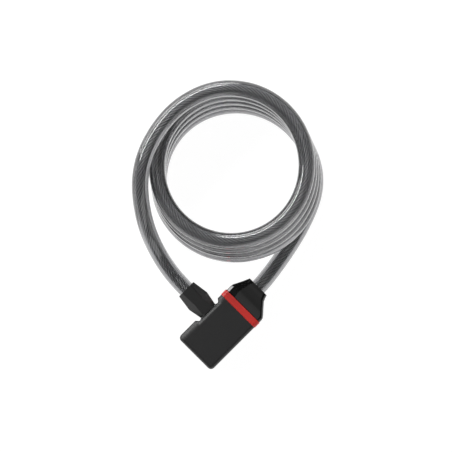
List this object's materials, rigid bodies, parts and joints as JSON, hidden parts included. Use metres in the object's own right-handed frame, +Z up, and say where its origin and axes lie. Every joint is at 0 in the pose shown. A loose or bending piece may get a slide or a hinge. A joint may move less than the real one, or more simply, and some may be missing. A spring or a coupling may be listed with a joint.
{
  "type": "cable lock",
  "caption": "Key-operated cable lock: a moulded rectangular head with a removable plug in its side and a thick clear-sheathed steel cable coiled beside it.",
  "frame": {"origin": "middle of the head's underside, where the head rests on the table", "axes": "+X along the head towards the end cap that the cable is fixed in, +Y towards the removable plug, +Z up"},
  "size_m": [0.1751, 0.1568, 0.061],
  "materials": {
    "housing_black": "spark-textured moulded black plastic",
    "cap_black": "glossy moulded black plastic",
    "ring_red": "satin moulded red plastic",
    "grip_black": "soft-touch moulded black plastic",
    "zinc": "die-cast zinc, as cast",
    "brass": "machined brass",
    "steel": "turned and plated steel",
    "rubber": "moulded rubber",
    "cable_sheath": "translucent smoke-grey extruded sheath over twisted steel rope"
  },
  "bodies": {
    "head": {"outer_housing": "housing_black", "accent_ring": "ring_red", "cable_end_cap": "cap_black", "casting_lower": "zinc", "casting_upper": "zinc", "casting_screw_1": "steel", "casting_screw_2": "steel", "casting_screw_3": "steel", "casting_screw_4": "steel", "keyhole_bezel": "steel", "socket_seal": "rubber", "cable_ferrule": "steel", "cable_left_run": "cable_sheath", "cable_coil": "cable_sheath", "cable_right_run": "cable_sheath"},
    "cylinder": {"key_cylinder": "brass", "cylinder_clip": "steel", "drive_cam": "steel", "wafer_spring_1": "steel", "wafer_spring_2": "steel", "wafer_spring_3": "steel", "wafer_spring_4": "steel", "wafer_spring_5": "steel"},
    "wafer_1": {"wafer_1": "brass"},
    "wafer_2": {"wafer_2": "brass"},
    "wafer_3": {"wafer_3": "brass"},
    "wafer_4": {"wafer_4": "brass"},
    "wafer_5": {"wafer_5": "brass"},
    "latch": {"latch": "steel"},
    "plug": {"locking_bolt": "steel", "plug_grip": "grip_black", "plug_ferrule": "steel"}
  },
  "joints": [
    {"name": "key_turn", "type": "hinge", "parent": "head", "child": "cylinder", "pos_m": [-0.0332, 0, 0.011], "axis": [1, 0, 0], "range_deg": [0, 90]},
    {"name": "latch_slide", "type": "slide", "parent": "head", "child": "latch", "axis": [0, 0, 1], "range_m": [0, 0.0017]},
    {"name": "plug_slide", "type": "slide", "parent": "head", "child": "plug", "axis": [0, 1, 0], "range_m": [0, 0.026], "deforming": ["cable_left_run"]},
    {"name": "wafer_1_slide", "type": "slide", "parent": "cylinder", "child": "wafer_1", "axis": [0, 0, -1], "range_m": [0, 0.0009], "stiffness_N_per_m": 200, "deforming": ["wafer_spring_1"]},
    {"name": "wafer_2_slide", "type": "slide", "parent": "cylinder", "child": "wafer_2", "axis": [0, 0, -1], "range_m": [0, 0.0009], "stiffness_N_per_m": 200, "deforming": ["wafer_spring_2"]},
    {"name": "wafer_3_slide", "type": "slide", "parent": "cylinder", "child": "wafer_3", "axis": [0, 0, -1], "range_m": [0, 0.0009], "stiffness_N_per_m": 200, "deforming": ["wafer_spring_3"]},
    {"name": "wafer_4_slide", "type": "slide", "parent": "cylinder", "child": "wafer_4", "axis": [0, 0, -1], "range_m": [0, 0.0009], "stiffness_N_per_m": 200, "deforming": ["wafer_spring_4"]},
    {"name": "wafer_5_slide", "type": "slide", "parent": "cylinder", "child": "wafer_5", "axis": [0, 0, -1], "range_m": [0, 0.0009], "stiffness_N_per_m": 200, "deforming": ["wafer_spring_5"]}
  ],
  "couplings": [
    {"joint": "key_turn", "follows": "latch_slide", "rad_per_m": 925.05},
    {"joint": "wafer_2_slide", "follows": "wafer_1_slide", "ratio": 1},
    {"joint": "wafer_3_slide", "follows": "wafer_1_slide", "ratio": 1},
    {"joint": "wafer_4_slide", "follows": "wafer_1_slide", "ratio": 1},
    {"joint": "wafer_5_slide", "follows": "wafer_1_slide", "ratio": 1}
  ]
}
